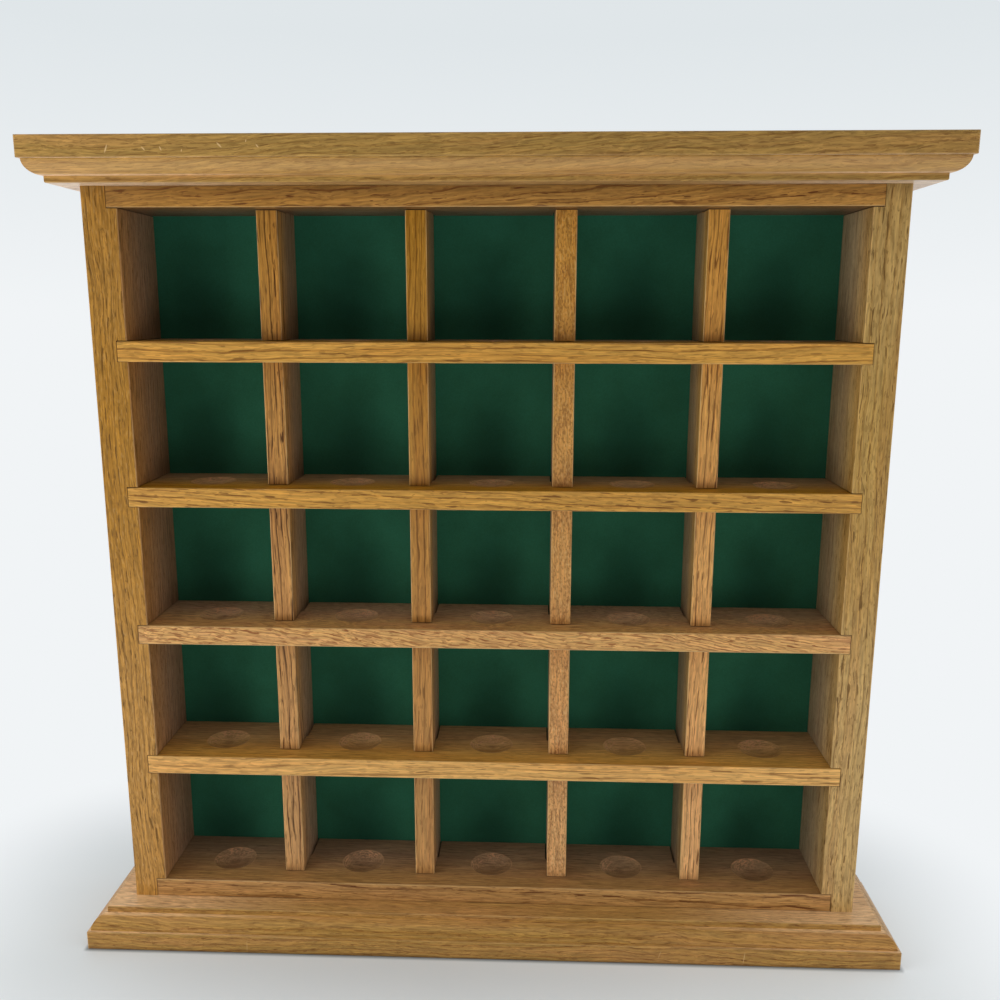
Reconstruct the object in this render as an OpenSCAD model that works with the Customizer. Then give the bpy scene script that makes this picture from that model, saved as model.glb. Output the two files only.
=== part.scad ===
// Display case for golf balls: twenty-five open square cells in an oak carcass, between a moulded
// crown board and a moulded base board, with a felt-covered back.
// X is the width, Y the depth with the open front at -Y, and Z is up from the table.
// The origin is at the middle of the underside.

/* [Carcass] */
// Outside width of the carcass, over its two sides
case_w = 350.8; // [340:0.1:380]
// Front-to-back depth of the sides, the shelves, and the top and bottom panels
case_d = 41; // [38:0.5:60]
// Thickness of the two sides
side_t = 15.6; // [12:0.1:20]
// Thickness of the shelves, and of the top and bottom panels
shelf_t = 9; // [7:0.1:11]
// Clear height of one cell
cell_h = 56.4; // [50:0.1:70]
// Depth of the grooves in the sides that the shelf ends sit in
groove_d = 4.8; // [3:0.1:6]
// Play of a shelf end in its groove, all of it above the shelf
groove_gap = 0.3; // [0:0.05:0.4]
// Gap between a shelf end and the bottom of its groove
end_gap = 0.25; // [0:0.05:0.4]

/* [Dividers] */
// Thickness of the upright dividers
divider_t = 9.4; // [7:0.1:11]
// Distance between neighbouring dividers, middle to middle
divider_pitch = 65.3; // [60:0.1:66]
// How far the divider fronts stand back from the shelf fronts
divider_setback = 9.8; // [4:0.1:14]
// Gap on each side of a divider in its slots
slot_gap = 0.7; // [0.1:0.05:0.8]
// Gap above and below a shelf in the notches of a divider
notch_gap = 0.35; // [0.1:0.05:0.5]

/* [Crown and base] */
// Thickness of the crown and base boards
board_t = 18; // [16:0.5:22]
// How far both boards stand out past the carcass, at the front and at both sides
overhang = 18; // [12:0.5:30]
// Height of the plain upright band on their edge
band_h = 9; // [7:0.1:9]
// Width of the flat step between the band and the round
step_w = 1.6; // [1:0.1:2.5]
// Radius of the quarter round
round_r = 6.2; // [5:0.1:6.4]

/* [Ball seats] */
// Width of the dished seat in each cell floor
seat_w = 21; // [14:0.5:28]
// Depth of the dished seat
seat_depth = 2.2; // [1:0.1:3]

/* [Back] */
// Thickness of the back panel
back_t = 3; // [2.5:0.1:6]
// Thickness of the felt on its face
felt_t = 0.8; // [0.5:0.1:2]
// How far the back panel laps over the crown and base boards
back_lap = 12; // [8:0.5:14]
// How far its side edges stand in from the carcass sides
back_reveal = 2; // [0:0.5:4]

/* [Hidden] */
$fn = 64;

// Counts of the grid
rows = 5;
columns = 5;

// Softened edges: sanded arrises, and the corners of the crown and base boards
ease_r = 0.6;
corner_r = 0.9;

// Overall sizes and the main planes
board_w = case_w + 2 * overhang;
board_d = case_d + overhang;
total_d = board_d + felt_t + back_t;
front_y = -total_d / 2;
case_y = front_y + overhang;
back_y = case_y + case_d;
floor_z = board_t;
row_pitch = cell_h + shelf_t;
case_h = rows * row_pitch + shelf_t;
ceiling_z = floor_z + case_h;
total_h = ceiling_z + board_t;

// Edge moulding
mould_in = step_w + round_r;

// Cross-lapped grid: slots from the back of the shelves, notches from the front of the dividers
shelf_len = case_w - 2 * (side_t - groove_d + end_gap);
divider_d = case_d - divider_setback;
lap_d = divider_d / 2;
slot_w = divider_t + 2 * slot_gap;
side_x = (case_w - side_t) / 2;

// Ball seats: a dish of one radius, in the middle of each cell floor
seat_r = (seat_w * seat_w / 4 + seat_depth * seat_depth) / (2 * seat_depth);
seat_y = case_y + case_d / 2;

// Fasteners, in the part of each side that the grooves leave whole
fix_x = (case_w - side_t + groove_d) / 2;
fix_y = [case_y + case_d / 4, case_y + 3 * case_d / 4];
dowel_w = 6;
dowel_len = 26;
dowel_in_board = 10;
dowel_play = 1;
screw_len = 35;
screw_w = 3.5;
screw_head_w = 8;
screw_sink = 0.5;
screw_tip = 4;
brad_len = 16;
brad_w = 1.4;
brad_head_w = 2.6;
brad_head_t = 0.8;
brad_edge = 6;
brad_columns = 6;
brad_span = 300;

// Colours, as finished
oak_gold = "#B98A4A";
oak_olive = "#A6854D";
oak_pink = "#BC8A5A";
oak_orange = "#C08A4C";
felt_green = "#14452F";
board_brown = "#7A5A3A";
steel = "#B8B6AE";
birch = "#D8C09A";

// Middle height of horizontal board n: 0 is the bottom panel and rows is the top panel
function shelf_z(n) = floor_z + shelf_t / 2 + n * row_pitch;
// Middle of divider i, counted from 1 at the left
function divider_x(i) = (i - columns / 2) * divider_pitch;
// Left and right limits of cell column c, counted from 0 at the left
function cell_left(c) = c == 0 ? side_t - case_w / 2 : divider_x(c) + divider_t / 2;
function cell_right(c) = c == columns - 1 ? case_w / 2 - side_t : divider_x(c + 1) - divider_t / 2;
function cell_x(c) = (cell_left(c) + cell_right(c)) / 2;
// Places of the brads: along the crown and base boards, and one at each cell up both sides
brad_row = [for (i = [0 : brad_columns - 1]) brad_span * (i / (brad_columns - 1) - 0.5)];
brad_places = concat(
    [for (x = brad_row) [x, floor_z - back_lap + brad_edge]],
    [for (x = brad_row) [x, ceiling_z + back_lap - brad_edge]],
    [for (n = [0 : rows - 1], s = [-1, 1]) [s * fix_x, shelf_z(n) + row_pitch / 2]]
);

// Section of a board: depth along x from its front, thickness centred on y, front edges eased
module strip(depth, thickness) {
    translate([ease_r, -thickness / 2]) square([depth - ease_r, thickness]);
    translate([0, ease_r - thickness / 2]) square([ease_r, thickness - 2 * ease_r]);
    for (s = [-1, 1]) translate([ease_r, s * (thickness / 2 - ease_r)]) circle(r = ease_r);
}

// A board lying across the case, its middle at height z
module flat_board(length, depth, thickness, z) {
    translate([-length / 2, case_y, z])
        rotate([90, 0, 90])
        linear_extrude(length)
        strip(depth, thickness);
}

// A board standing in the case, its middle at x and its front at y
module upright_board(x, y, depth, thickness) {
    translate([x, y, floor_z])
        rotate([0, 0, 90])
        linear_extrude(case_h)
        strip(depth, thickness);
}

// Moulded edge: x runs in from the outer face, y up from the plain side of the board
module moulded_edge() {
    translate([ease_r, 0]) square([mould_in, band_h]);
    translate([0, ease_r]) square([ease_r, band_h - 2 * ease_r]);
    for (y = [ease_r, band_h - ease_r]) translate([ease_r, y]) circle(r = ease_r);
    intersection() {
        translate([mould_in, band_h]) circle(r = round_r);
        translate([0, band_h]) square([mould_in, round_r]);
    }
    translate([mould_in, 0]) square([ease_r, board_t - ease_r]);
    translate([mould_in + ease_r, 0]) square([ease_r, board_t]);
    translate([mould_in + ease_r, board_t - ease_r]) circle(r = ease_r);
}

// Side-to-side section of a moulded board, both edges moulded
module width_section() {
    for (m = [0, 1]) mirror([m, 0]) translate([-board_w / 2, 0]) moulded_edge();
    core_w = board_w - 2 * mould_in - 2 * ease_r;
    translate([-core_w / 2, 0]) square([core_w, board_t]);
}

// Front-to-back section of a moulded board, its back edge square
module depth_section() {
    moulded_edge();
    core_in = mould_in + ease_r;
    translate([core_in, 0]) square([board_d - core_in, board_t]);
}

// Outline from above, the two front corners softened
module plan_outline() {
    translate([-board_w / 2, corner_r]) square([board_w, board_d - corner_r]);
    translate([corner_r - board_w / 2, 0]) square([board_w - 2 * corner_r, board_d]);
    for (s = [-1, 1]) translate([s * (board_w / 2 - corner_r), corner_r]) circle(r = corner_r);
}

// Board with its moulding on the upper side: the two sections meet in mitres at the corners
module moulded_board() {
    intersection() {
        translate([0, front_y + board_d, 0]) rotate([90, 0, 0]) linear_extrude(board_d) width_section();
        translate([-board_w / 2, front_y, 0]) rotate([90, 0, 90]) linear_extrude(board_w) depth_section();
        translate([0, front_y, 0]) linear_extrude(board_t) plan_outline();
    }
}

// Groove for the end of horizontal board n, on the side with sign s. The top panel is held up
// against the crown board, so its play is below it.
module groove(n, s) {
    inner_x = case_w / 2 - side_t;
    play_z = (n == rows ? -1 : 1) * groove_gap / 2;
    translate([s * (inner_x + groove_d / 2), case_y + case_d / 2, shelf_z(n) + play_z])
        cube([groove_d, case_d + 2, shelf_t + groove_gap], center = true);
}

module dowel_hole(x, y) {
    translate([x, y, ceiling_z - (dowel_len - dowel_in_board) - dowel_play])
        cylinder(d = dowel_w, h = dowel_len + 2 * dowel_play);
}

module dowel(x, y) {
    bevel = 0.8;
    translate([x, y, ceiling_z - (dowel_len - dowel_in_board)]) {
        cylinder(d1 = dowel_w - 2 * bevel, d2 = dowel_w, h = bevel);
        translate([0, 0, bevel]) cylinder(d = dowel_w, h = dowel_len - 2 * bevel);
        translate([0, 0, dowel_len - bevel]) cylinder(d1 = dowel_w, d2 = dowel_w - 2 * bevel, h = bevel);
    }
}

// A countersunk screw from below. Its head is as deep as it is wider than the shank on each side.
module screw_body(x, y) {
    head_h = (screw_head_w - screw_w) / 2;
    translate([x, y, screw_sink]) {
        cylinder(d1 = screw_head_w, d2 = screw_w, h = head_h);
        cylinder(d = screw_w, h = screw_len - screw_tip);
        translate([0, 0, screw_len - screw_tip]) cylinder(d1 = screw_w, d2 = 0.6, h = screw_tip);
    }
}

module screw(x, y) {
    drive_w = 0.9;
    drive_len = 4.6;
    drive_depth = 1.3;
    difference() {
        screw_body(x, y);
        for (a = [0, 90])
            translate([x, y, screw_sink]) rotate(a)
            cube([drive_len, drive_w, 2 * drive_depth], center = true);
    }
}

module screw_hole(x, y) {
    screw_body(x, y);
    translate([x, y, -1]) cylinder(d = screw_head_w, h = 1 + screw_sink);
}

// A brad driven in from the back, its head level with the back of the panel
module brad(x, z) {
    translate([x, -front_y, z]) rotate([90, 0, 0]) {
        cylinder(d = brad_head_w, h = brad_head_t);
        cylinder(d = brad_w, h = brad_len);
    }
}

module brads() {
    for (p = brad_places) brad(p[0], p[1]);
}

module crown_board() {
    color(oak_olive)
    difference() {
        translate([0, 0, total_h]) mirror([0, 0, 1]) moulded_board();
        for (s = [-1, 1], y = fix_y) dowel_hole(s * fix_x, y);
        brads();
    }
}

module base_board() {
    color(oak_olive)
    difference() {
        moulded_board();
        for (s = [-1, 1], y = fix_y) screw_hole(s * fix_x, y);
        brads();
    }
}

// The side with sign s: -1 is the left one
module side(s) {
    color(oak_olive)
    difference() {
        upright_board(s * side_x, case_y, case_d, side_t);
        for (n = [0 : rows]) groove(n, s);
        for (y = fix_y) {
            dowel_hole(s * fix_x, y);
            screw_body(s * fix_x, y);
        }
        brads();
    }
}

// Horizontal board n, slotted from the back for the dividers
module slotted_board(n) {
    difference() {
        flat_board(shelf_len, case_d, shelf_t, shelf_z(n));
        for (i = [1 : columns - 1])
            translate([divider_x(i) - slot_w / 2, back_y - lap_d, shelf_z(n) - shelf_t])
            cube([slot_w, lap_d + 1, 2 * shelf_t]);
    }
}

// The same with a dished seat in the floor of each cell above it
module seated_board(n) {
    top_z = shelf_z(n) + shelf_t / 2;
    difference() {
        slotted_board(n);
        for (c = [0 : columns - 1])
            translate([cell_x(c), seat_y, top_z - seat_depth + seat_r])
            sphere(r = seat_r, $fn = 128);
    }
}

module top_panel() {
    color(oak_gold) slotted_board(rows);
}

module bottom_panel() {
    color(oak_pink) seated_board(0);
}

// Shelf n, counted from 1 at the top
module shelf(n) {
    color(oak_gold) seated_board(rows - n);
}

// Divider i, notched from the front for every horizontal board
module divider(i) {
    front = case_y + divider_setback;
    color(oak_orange)
    difference() {
        upright_board(divider_x(i), front, divider_d, divider_t);
        for (n = [0 : rows])
            translate([divider_x(i), front - 1 + (lap_d + 1) / 2, shelf_z(n)])
            cube([divider_t + 2, lap_d + 1, shelf_t + 2 * notch_gap], center = true);
    }
}

// Flat sheet behind the carcass, its front face at y
module back_sheet(y, thickness) {
    w = case_w - 2 * back_reveal;
    h = case_h + 2 * back_lap;
    translate([-w / 2, y, floor_z - back_lap]) cube([w, thickness, h]);
}

module felt_backing() {
    color(felt_green)
    difference() {
        back_sheet(back_y, felt_t);
        brads();
    }
}

module back_panel() {
    color(board_brown)
    difference() {
        back_sheet(back_y + felt_t, back_t);
        brads();
    }
}

module crown_dowels() {
    color(birch)
    for (s = [-1, 1], y = fix_y) dowel(s * fix_x, y);
}

module base_screws() {
    color(steel)
    for (s = [-1, 1], y = fix_y) screw(s * fix_x, y);
}

module back_brads() {
    color(steel) brads();
}

crown_board();
base_board();
side(-1);  // left_side
side(1);  // right_side
top_panel();
bottom_panel();
shelf(1);  // shelf_1
shelf(2);  // shelf_2
shelf(3);  // shelf_3
shelf(4);  // shelf_4
divider(1);  // divider_1
divider(2);  // divider_2
divider(3);  // divider_3
divider(4);  // divider_4
felt_backing();
back_panel();
crown_dowels();
base_screws();
back_brads();
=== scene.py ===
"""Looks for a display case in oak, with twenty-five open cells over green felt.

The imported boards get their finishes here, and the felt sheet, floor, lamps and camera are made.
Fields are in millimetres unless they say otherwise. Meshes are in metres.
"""

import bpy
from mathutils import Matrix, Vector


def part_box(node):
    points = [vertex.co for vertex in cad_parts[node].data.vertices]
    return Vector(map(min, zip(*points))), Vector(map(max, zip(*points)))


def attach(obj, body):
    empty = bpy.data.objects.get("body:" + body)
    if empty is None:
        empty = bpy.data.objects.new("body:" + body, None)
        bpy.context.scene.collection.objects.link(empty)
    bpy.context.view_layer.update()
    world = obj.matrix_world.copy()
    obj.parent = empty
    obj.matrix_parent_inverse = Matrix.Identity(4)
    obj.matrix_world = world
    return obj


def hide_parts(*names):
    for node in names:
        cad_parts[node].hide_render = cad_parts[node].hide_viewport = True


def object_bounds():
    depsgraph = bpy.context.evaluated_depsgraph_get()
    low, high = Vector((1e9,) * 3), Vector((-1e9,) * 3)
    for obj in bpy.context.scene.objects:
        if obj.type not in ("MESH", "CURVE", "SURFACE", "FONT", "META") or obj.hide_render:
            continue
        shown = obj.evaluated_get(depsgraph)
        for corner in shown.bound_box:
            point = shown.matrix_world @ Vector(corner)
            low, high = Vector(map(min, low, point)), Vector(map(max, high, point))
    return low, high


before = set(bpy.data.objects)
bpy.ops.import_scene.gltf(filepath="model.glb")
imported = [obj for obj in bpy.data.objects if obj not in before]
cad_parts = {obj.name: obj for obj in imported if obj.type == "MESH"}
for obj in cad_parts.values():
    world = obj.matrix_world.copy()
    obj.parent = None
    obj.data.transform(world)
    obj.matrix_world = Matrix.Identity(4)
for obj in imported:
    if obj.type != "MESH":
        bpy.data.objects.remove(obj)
CAD_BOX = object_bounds()
CELL_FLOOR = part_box("bottom_panel")[1].z
CELL_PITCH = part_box("shelf_4")[1].z - CELL_FLOOR
CELL_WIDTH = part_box("divider_4")[0].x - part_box("divider_3")[0].x

import logging
import math
from dataclasses import dataclass
from enum import Enum
from functools import cached_property, partial

import bmesh
import bpy
from bpy.types import Material, Node, NodeOutputs, NodeSocket, NodeTree, Object
from mathutils import Euler, Matrix, Vector, noise

log = logging.getLogger("display_case")
MM = 0.001
SMOOTH = {"interpolation_type": "SMOOTHSTEP"}
RGBA = {"data_type": "RGBA"}


def linear(code: str) -> tuple[float, float, float, float]:
    """Turns an sRGB hex value to the linear colour that a socket takes.

    Args:
        code: six hex digits after a hash.

    Returns:
        Linear red, green, blue and an alpha of 1.
    """
    parts = [int(code[i:i + 2], 16) / 255 for i in (1, 3, 5)]
    red, green, blue = (c / 12.92 if c <= 0.04045 else ((c + 0.055) / 1.055) ** 2.4 for c in parts)
    return red, green, blue, 1.0


def add_node(tree: NodeTree, kind: str, *feeds: object, **settings: object) -> Node:
    """Adds one node, with its options set and its inputs linked or filled.

    A feed is a value, a colour's hex code, an output, or a node for its first live output. In turn,
    MapRange takes its value, the ends that it maps from and those that it maps to, which are 0 and
    1 if left out, TexNoise its place, scale, detail and roughness, and Mix its factor, A and B.

    Args:
        tree: the tree that it goes in.
        kind: the node's type, without the leading ShaderNode, and its operation after a dot.
        feeds: what the live inputs get in turn, or one dict of feeds by their names.
        settings: the node's own options.

    Returns:
        The new node.
    """
    kind, _, operation = kind.partition(".")
    node = tree.nodes.new("ShaderNode" + kind)
    if operation:
        node.operation = operation
    for name, value in settings.items():
        setattr(node, name, value)
    live = [socket for socket in node.inputs if socket.enabled]
    first = {socket.name: socket for socket in reversed(live)}
    named = isinstance(feeds[0], dict)
    keys, sources = (map(first.get, feeds[0]), feeds[0].values()) if named else (live, feeds)
    for socket, source in zip(keys, sources):
        if isinstance(source, str):
            source = linear(source)
        if isinstance(source, Node):
            source = next(s for s in source.outputs if s.enabled)
        if isinstance(source, NodeSocket):
            tree.links.new(source, socket)
        else:
            socket.default_value = source
    return node


def dress(name: str, material: Material) -> None:
    """Gives a packed board its finish and reports it.

    Args:
        name: the CAD node.
        material: its finish.
    """
    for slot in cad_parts[name].material_slots:
        slot.material = material
    log.info("%s: %s", name, material.name)


class Shading:
    """A material in the making, with the coordinates that its patterns ask for."""

    def __init__(self, name: str) -> None:
        """Makes an empty node material.

        Args:
            name: what the real material is.
        """
        self.material = bpy.data.materials.new(name)
        self.material.use_nodes = True
        self.material.node_tree.nodes.clear()
        self.add = partial(add_node, self.material.node_tree)

    @cached_property
    def coordinates(self) -> Node:
        """The texture coordinates."""
        return self.add("TexCoord", {})

    @property
    def place(self) -> NodeSocket:
        """The place, in the object's own coordinates."""
        return self.coordinates.outputs["Object"]

    @cached_property
    def spot(self) -> NodeOutputs:
        """The place, as separate numbers."""
        return self.add("SeparateXYZ", self.place).outputs

    @cached_property
    def facing(self) -> NodeOutputs:
        """The way that the surface faces, as separate numbers."""
        return self.add("SeparateXYZ", self.coordinates.outputs["Normal"]).outputs

    def finish(self, surface: Node) -> Material:
        """Feeds the surface shader to the material's output.

        Args:
            surface: the shader node.

        Returns:
            The finished material.
        """
        self.add("OutputMaterial", {"Surface": surface})
        return self.material


class Grain(Enum):
    """Which way the grain of a board runs. The value is the turn about Y that lays U along it."""

    ACROSS = 0.0
    UPRIGHT = 90.0


@dataclass(frozen=True)
class Mark:
    """A dent or scratch that broke the varnish, on a face that looks forward.

    Attributes:
        x: place from the middle.
        z: height.
        length: along the scratch.
        width: across it.
        turn: degrees from level.
        depth: how pale it is, from 0 to 1.
        front: place of the front faces, from the middle of the depth, in metres.
        reach: how far it goes in from there, in metres.
    """

    x: float
    z: float
    length: float
    width: float
    turn: float
    depth: float = 0.95
    front: float = -0.03
    reach: float = 0.02


@dataclass(frozen=True)
class DishedSeats:
    """The five seats of a shelf, as the round cutter left them, in metres.

    Attributes:
        sides: places of the two seats at the right, which those at the left mirror.
        back: how far the seats are behind the middle of the depth.
        half_pitch: half the distance between two seats.
        face: radii between which the plain board turns to the cutter's torn face.
        lip: radius of the rubbed lip, and half its width.
        ring: distance between the rings that the cutter left.
        burnt: radii between which the wood darkens towards the seat's middle.
    """

    sides: tuple[float, float] = (0.0653, 0.1312)
    back: float = 0.0071
    half_pitch: float = 0.0328
    face: tuple[float, float] = (0.0108, 0.0101)
    lip: tuple[float, float] = (0.0103, 0.0003)
    ring: float = 0.0011
    burnt: tuple[float, float] = (0.0045, 0.001)


@dataclass(frozen=True)
class SatinOak:
    """Red oak, sawn and planed, under a satin varnish.

    Ring-porous: each year starts with a band of open pores, which the dye turns to dark dashes
    along the grain, and ends in smooth wood. Edges are rubbed pale, with a painted highlight on
    lower front edges. The varnish gives a soft gloss that turns bright at low angles. Real pores
    are about 0.3 mm wide, which is too fine to show, so they are drawn 0.45 to 1 mm wide. Some
    fields paint light and shade into the colour, as their entries say.

    Attributes:
        board: its CAD node.
        late: colour of the smooth late wood.
        early: colour of the porous early wood.
        pore: colour in the pores.
        blush: colour that it drifts to in places.
        grain: the way it runs.
        ring: width of a year.
        heart: distance of the tree's heart from the board's middle, in depth and across.
        lean: degrees that the grain leans from the board's line, in the two planes along it.
        dash: length and width of a pore dash.
        pores: how many pores show, from 0 to 1.
        crowd: how much the pores bunch.
        wander: how far the grain lines stray.
        fleck: length and width of a fleck.
        ray: how strong the dark flecks are.
        glint: how strong the pale flecks are.
        line: how dark the thin line is that starts each year.
        line_width: how wide that line is.
        contrast: how strongly early and late wood differ.
        band: the part of a year that is early wood.
        seed: place along the log.
        plain_z: heights between which a curved face isn't an edge.
        rounded: how much painted light pales that curved face.
        dust: how dim the board is at the back, as painted shade.
        film: how grey it is there.
        dusty: depths between which the painted shade and the grey come in.
        calm: how much the pattern fades on the faces that look up.
        rich: how much stronger the colour is on an upper face with seats.
        foot: how much paler its foot is, and how much darker its top, as painted light and shade.
        tone: with foot, how strong the colour is at its foot and at its top, as painted light and
            shade.
        sweep: how much paler its left end is, and how much darker its right end, as painted light.
        veil: how much deeper the colour is at the middle of its height, as painted shade.
        inner: how light its face towards the case's middle is, at foot and top, as painted shade.
        inner_tone: how strong the colour is on that face.
        inner_hue: its hue, where less than 0.5 is redder and more is greener.
        gather: how dark the painted joint shadow above each cell's floor is.
        corner: heights between which the board darkens as painted shade, if it does.
        under: how dark the underside is, as painted shade.
        dark: how dark the pores are, from 0 to 1.
        rub: how pale the edges are rubbed.
        low_rub: how much more the lower front edge is paled, as a painted highlight.
        ends: colour that the level faces pale to at both ends, if they do, as a painted reflection.
        seats: the seats in its upper face, if it has them.
        marks: dents and scratches.
    """

    board: str
    late: str
    early: str
    pore: str = "#663A0A"
    blush: str = "#C08A52"
    grain: Grain = Grain.ACROSS
    ring: float = 2.6
    heart: tuple[float, float] = (38.0, 30.0)
    lean: tuple[float, float] = (1.2, 0.8)
    dash: tuple[float, float] = (14.0, 0.75)
    pores: float = 0.5
    crowd: float = 0.14
    wander: float = 3.0
    fleck: tuple[float, float] = (4.5, 0.7)
    ray: float = 0.25
    glint: float = 0.0
    line: float = 0.5
    line_width: float = 0.5
    contrast: float = 0.8
    band: float = 0.45
    seed: float = 0.0
    plain_z: tuple[float, float] = (0.0, 0.0)
    rounded: float = 0.0
    dust: float = 0.0
    film: float = 0.22
    dusty: tuple[float, float] = (-10.0, 22.0)
    calm: float = 0.45
    rich: float = 0.07
    foot: float = 0.0
    tone: tuple[float, float] = (1.0, 1.0)
    sweep: float = 0.0
    veil: float = 0.0
    inner: tuple[float, float] = (1.0, 1.0)
    inner_tone: float = 1.0
    inner_hue: float = 0.5
    gather: float = 0.0
    corner: tuple[float, float] = (0.0, 0.0)
    under: float = 0.0
    dark: float = 0.85
    rub: float = 0.5
    low_rub: float = 0.0
    ends: str = ""
    seats: DishedSeats | None = None
    marks: tuple[Mark, ...] = ()

    def dress(self) -> None:
        """Gives the board this oak."""
        dress(self.board, OakShading(self).build())


class OakShading(Shading):
    """The shading of one oak board, from the rings of its log to the wear on its edges.

    Attributes:
        log_length: place in the log of one unit of an oak's seed, in millimetres.
        uprights: heights of the foot and the top of the upright boards, in metres.
        waist: height that an oak's veil, a band of painted shade, is centred on, in metres.
        burr: how far the painted joint shadow reaches above a cell's floor, in millimetres.
    """

    log_length = 97.0
    uprights = (0.02, 0.33)
    waist = 0.22
    burr = 5.0

    def __init__(self, oak: SatinOak) -> None:
        """Lays the board in its log, with U along the grain and V and W from the tree's heart.

        Args:
            oak: what the board's oak is like.
        """
        super().__init__(f"satin_oak_{oak.board.removesuffix('_board')}")
        self.oak = oak
        low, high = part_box(oak.board)
        middle = (low + high) / 2 / MM
        turn = Euler((0.0, math.radians(oak.grain.value + oak.lean[0]), math.radians(oak.lean[1])))
        start = Vector((oak.seed * self.log_length, *oak.heart)) - turn.to_matrix() @ middle
        self.along = self.add("Mapping", {
            "Vector": self.place, "Location": start, "Rotation": turn, "Scale": (1 / MM,) * 3})
        for long, wide, share in ((120.0, 40.0, 1.0), (26.0, 10.0, 0.28), (9.0, 4.0, 0.09)):
            drift = self.streaks(long, wide, 1.0).outputs["Color"]
            drift = self.add("VectorMath.SUBTRACT", drift, (0.5, 0.5, 0.5))
            size = oak.wander * share * 2
            self.along = self.add("VectorMath.MULTIPLY_ADD", drift, (0.0, size, size), self.along)

    def streaks(self, long: float, wide: float, detail: float, roughness: float = 0.5) -> Node:
        """Draws noise out along the grain.

        Args:
            long: a streak's length, in millimetres.
            wide: its width.
            detail: how much finer noise is in it.
            roughness: how strong the finer noise is.

        Returns:
            The noise.
        """
        drawn = self.add("VectorMath.MULTIPLY", self.along, (1 / long, 1 / wide, 1 / wide))
        return self.add("TexNoise", drawn, 1.0, detail, roughness)

    @cached_property
    def outward(self) -> Node:
        """How much a face looks away from the case's middle, times its distance from there."""
        return self.add("Math.MULTIPLY", self.facing["X"], self.spot["X"])

    def build(self) -> Material:
        """Builds the finish.

        Returns:
            The material.
        """
        band, tone, line = self.years()
        pore = self.pores(band)
        fibre = self.streaks(42, 0.8, 3.0, 0.65)
        wood, rough, height = self.wear(self.colour(band, tone, pore, line, fibre), pore, fibre)
        bump = self.add("Bump", {"Height": height, "Strength": 0.55, "Distance": 0.0002})
        return self.finish(self.add("BsdfPrincipled", {
            "Base Color": wood, "Roughness": rough, "Normal": bump, "IOR": 1.5,
            "Specular IOR Level": 0.2, "Coat Weight": 0.2, "Coat Roughness": 0.2,
            "Coat IOR": 1.5}))

    def years(self) -> tuple[Node, Node, Node]:
        """Works out the growth rings.

        Returns:
            How much a point is early wood, a tone that is steady within a year, and how much a
            point is in the thin line that starts the year.
        """
        add, oak = self.add, self.oak
        across = add("VectorMath.MULTIPLY", self.along, (0.0, 1 / oak.ring, 1 / oak.ring))
        radius = add("VectorMath.LENGTH", across)
        age = add("Math.MULTIPLY_ADD", self.streaks(70, 7, 1.0), 1.4, radius)
        tone = add("TexWhiteNoise", add("Math.FLOOR", age), noise_dimensions="1D")
        part = add("Math.FRACT", age)
        fall = add("MapRange", part, 0.04, oak.band, 1.0, 0.0, **SMOOTH)
        rise = add("MapRange", part, 0.93, 1.0, **SMOOTH)
        early = add("Math.MAXIMUM", fall, rise)
        band = add("Math.MULTIPLY", early, add("MapRange", tone, 0.0, 1.0, 0.35, 1.0))
        thin = add("MapRange", part, 0.05 + oak.line_width / oak.ring, 0.05, **SMOOTH)
        fade = add("MapRange", self.streaks(38, 2.2, 2.0), 0.42, 0.60, 0.0, oak.line, **SMOOTH)
        return band, tone, add("Math.MULTIPLY", thin, fade)

    def pores(self, band: Node) -> Node:
        """Works out the dark pore dashes, which crowd in the early wood.

        Args:
            band: how much a point is early wood.

        Returns:
            How much a point is in a pore.
        """
        add, oak = self.add, self.oak
        more = add("Math.MULTIPLY", self.streaks(34, 2.6, 1.0), oak.crowd)
        more = add("Math.MULTIPLY_ADD", band, oak.crowd + 0.02, more)
        limit = 0.75 + 0.5 * oak.crowd - 0.07 * oak.pores
        long, wide = oak.dash
        found = []
        for length, width, strength in ((long, wide, 1.0), (long * 0.3, wide * 0.7, 0.6)):
            level = add("Math.ADD", self.streaks(length, width, 0.5), more)
            found.append(add("MapRange", level, limit, limit + 0.05, 0.0, strength, **SMOOTH))
        return add("Math.MAXIMUM", *found)

    def colour(self, band: Node, tone: Node, pore: Node, line: Node, fibre: Node) -> Node:
        """Mixes the wood's colour.

        Args:
            band: how much a point is early wood.
            tone: the year's own tone.
            pore: how much a point is in a pore.
            line: how much a point is in a year's thin line.
            fibre: the fine streaks.

        Returns:
            The colour.
        """
        add, oak = self.add, self.oak
        keep = add("MapRange", self.facing["Z"], 0.4, 0.8, 1.0, 1.0 - oak.calm)
        share = add("Math.MULTIPLY", band, oak.contrast)
        share = add("Math.MULTIPLY", share, keep)
        wood = add("Mix", share, oak.late, oak.early, **RGBA)
        blush = add("MapRange", self.streaks(130, 9, 2.0), 0.42, 0.72, 0.0, 0.75, **SMOOTH)
        wood = add("Mix", blush, wood, oak.blush, **RGBA)
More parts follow.
